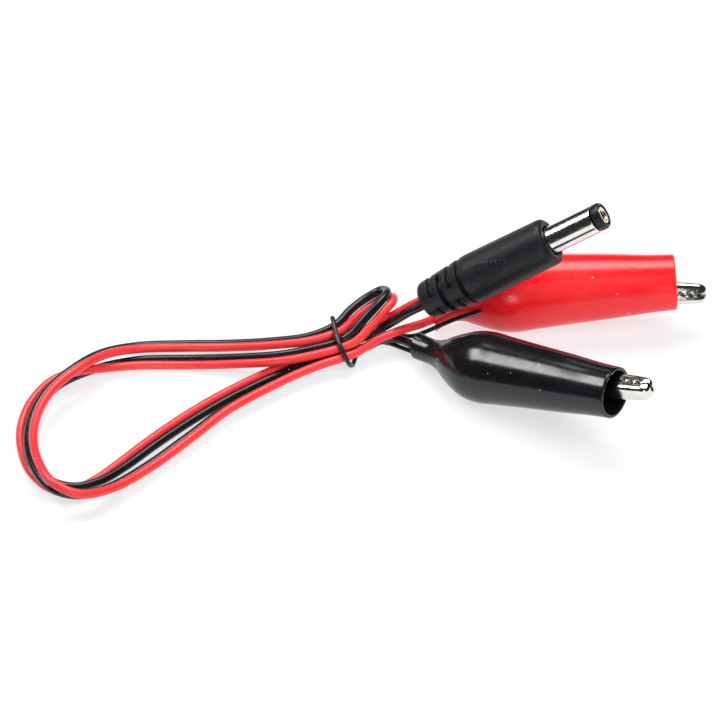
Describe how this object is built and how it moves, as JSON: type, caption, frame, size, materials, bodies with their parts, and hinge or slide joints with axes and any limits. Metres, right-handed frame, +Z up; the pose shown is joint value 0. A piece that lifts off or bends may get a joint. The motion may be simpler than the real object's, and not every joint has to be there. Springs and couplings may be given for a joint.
{
  "type": "barrel plug to crocodile clip power lead",
  "caption": "Short power lead: a barrel plug on a twin red and black cable, folded in a tied hank, that ends in booted red and black crocodile clips.",
  "frame": {"origin": "on the surface the lead lies on, under the middle of the box round the plug and the two clips, cable and tie left out", "axes": "+Z up; +X from the cable's hank towards the plug's tip and the clips' jaws; +Y towards the red clip"},
  "size_m": [0.135, 0.0627, 0.0369],
  "materials": {
    "moulded_black": "fine matte grain",
    "inner_plastic": "satin",
    "red_vinyl": "glossy soft vinyl",
    "black_vinyl": "glossy soft vinyl",
    "tie_plastic": "satin",
    "nickel": "bright nickel plating",
    "brass": "bright",
    "copper": "bare stranded copper",
    "spring_steel": "bright drawn wire"
  },
  "bodies": {
    "lead": {"plug_overmould": "moulded_black", "barrel_sleeve": "nickel", "tip_insulator": "inner_plastic", "centre_contact": "brass", "contact_insert": "inner_plastic", "red_strands_in_plug": "copper", "black_strands_in_plug": "copper", "red_cable": "red_vinyl", "black_cable": "black_vinyl", "twist_tie": "tie_plastic", "red_boot": "red_vinyl", "red_fixed_jaw": "nickel", "red_pivot_rivet": "nickel", "red_jaw_spring": "spring_steel", "red_strands_in_clip": "copper", "black_boot": "black_vinyl", "black_fixed_jaw": "nickel", "black_pivot_rivet": "nickel", "black_jaw_spring": "spring_steel", "black_strands_in_clip": "copper"},
    "red_jaw": {"red_moving_jaw": "nickel"},
    "black_jaw": {"black_moving_jaw": "nickel"}
  },
  "joints": [
    {"name": "red_jaw_hinge", "type": "hinge", "parent": "lead", "child": "red_jaw", "pos_m": [0.00635, 0.01659, 0.00818], "axis": [-0.0174, -0.8665, 0.4988], "range_deg": [0, 14], "stiffness_Nm_per_rad": 0.01, "springref_deg": -20.05, "deforming": ["red_jaw_spring"]},
    {"name": "black_jaw_hinge", "type": "hinge", "parent": "lead", "child": "black_jaw", "pos_m": [-0.00427, -0.01072, 0.01002], "axis": [0.3348, 0.0127, -0.9422], "range_deg": [0, 10], "stiffness_Nm_per_rad": 0.01, "springref_deg": -20.05, "deforming": ["black_jaw_spring"]}
  ]
}
